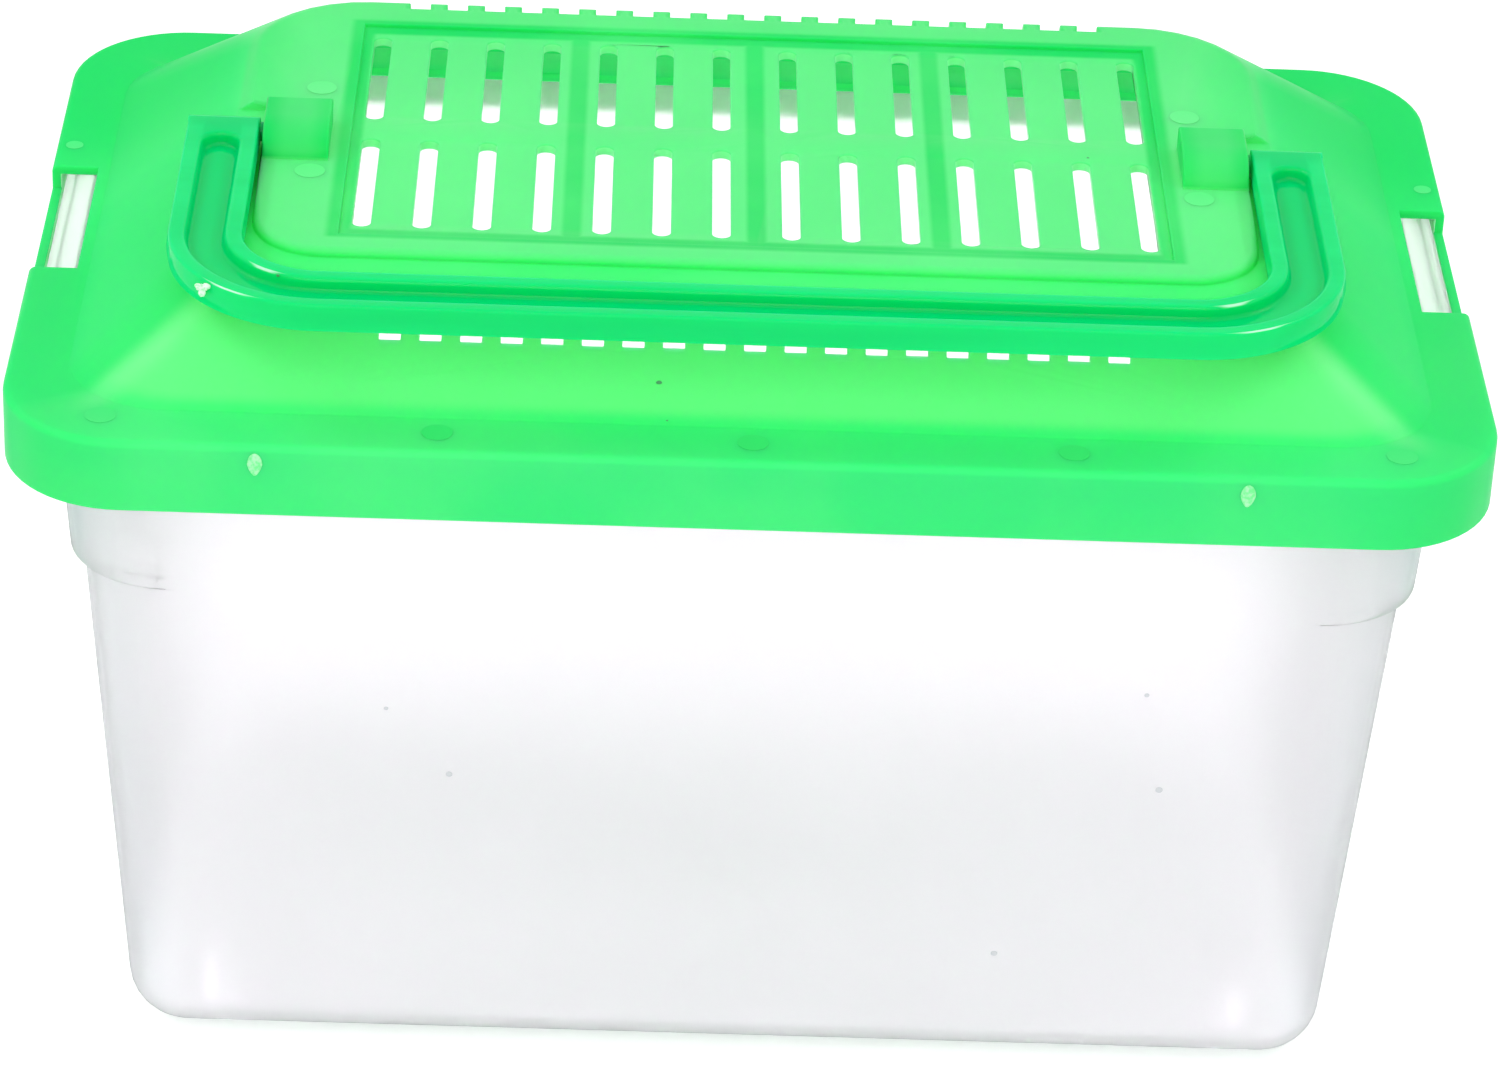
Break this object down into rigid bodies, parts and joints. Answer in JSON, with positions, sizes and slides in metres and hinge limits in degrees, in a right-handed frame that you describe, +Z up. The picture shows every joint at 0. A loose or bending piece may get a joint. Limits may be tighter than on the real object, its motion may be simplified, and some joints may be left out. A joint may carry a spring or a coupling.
{
  "type": "plastic pet keeper",
  "caption": "Clear plastic tub with a ventilated domed lid that clips over its rim and a fold-down carrying handle, for keeping or carrying small animals.",
  "frame": {"origin": "middle of the footprint, on the surface that the feet stand on", "axes": "+X along the long side, +Y towards the back, away from the lying handle bar, +Z up"},
  "size_m": [0.24, 0.1506, 0.1528],
  "materials": {
    "clear_plastic": "smooth milky-clear moulding",
    "lid_green": "smooth satin moulding",
    "handle_green": "smooth satin moulding"
  },
  "bodies": {
    "tub": {"tub": "clear_plastic"},
    "lid": {"lid": "lid_green"},
    "handle": {"handle": "handle_green"}
  },
  "joints": [
    {"name": "lid_lift", "type": "slide", "parent": "tub", "child": "lid", "axis": [0, 0, 1], "range_m": [0, 0.1]},
    {"name": "handle_swing", "type": "hinge", "parent": "lid", "child": "handle", "pos_m": [0, -0.0062, 0.1494], "axis": [-1, 0, 0], "range_deg": [0, 173.5]}
  ]
}
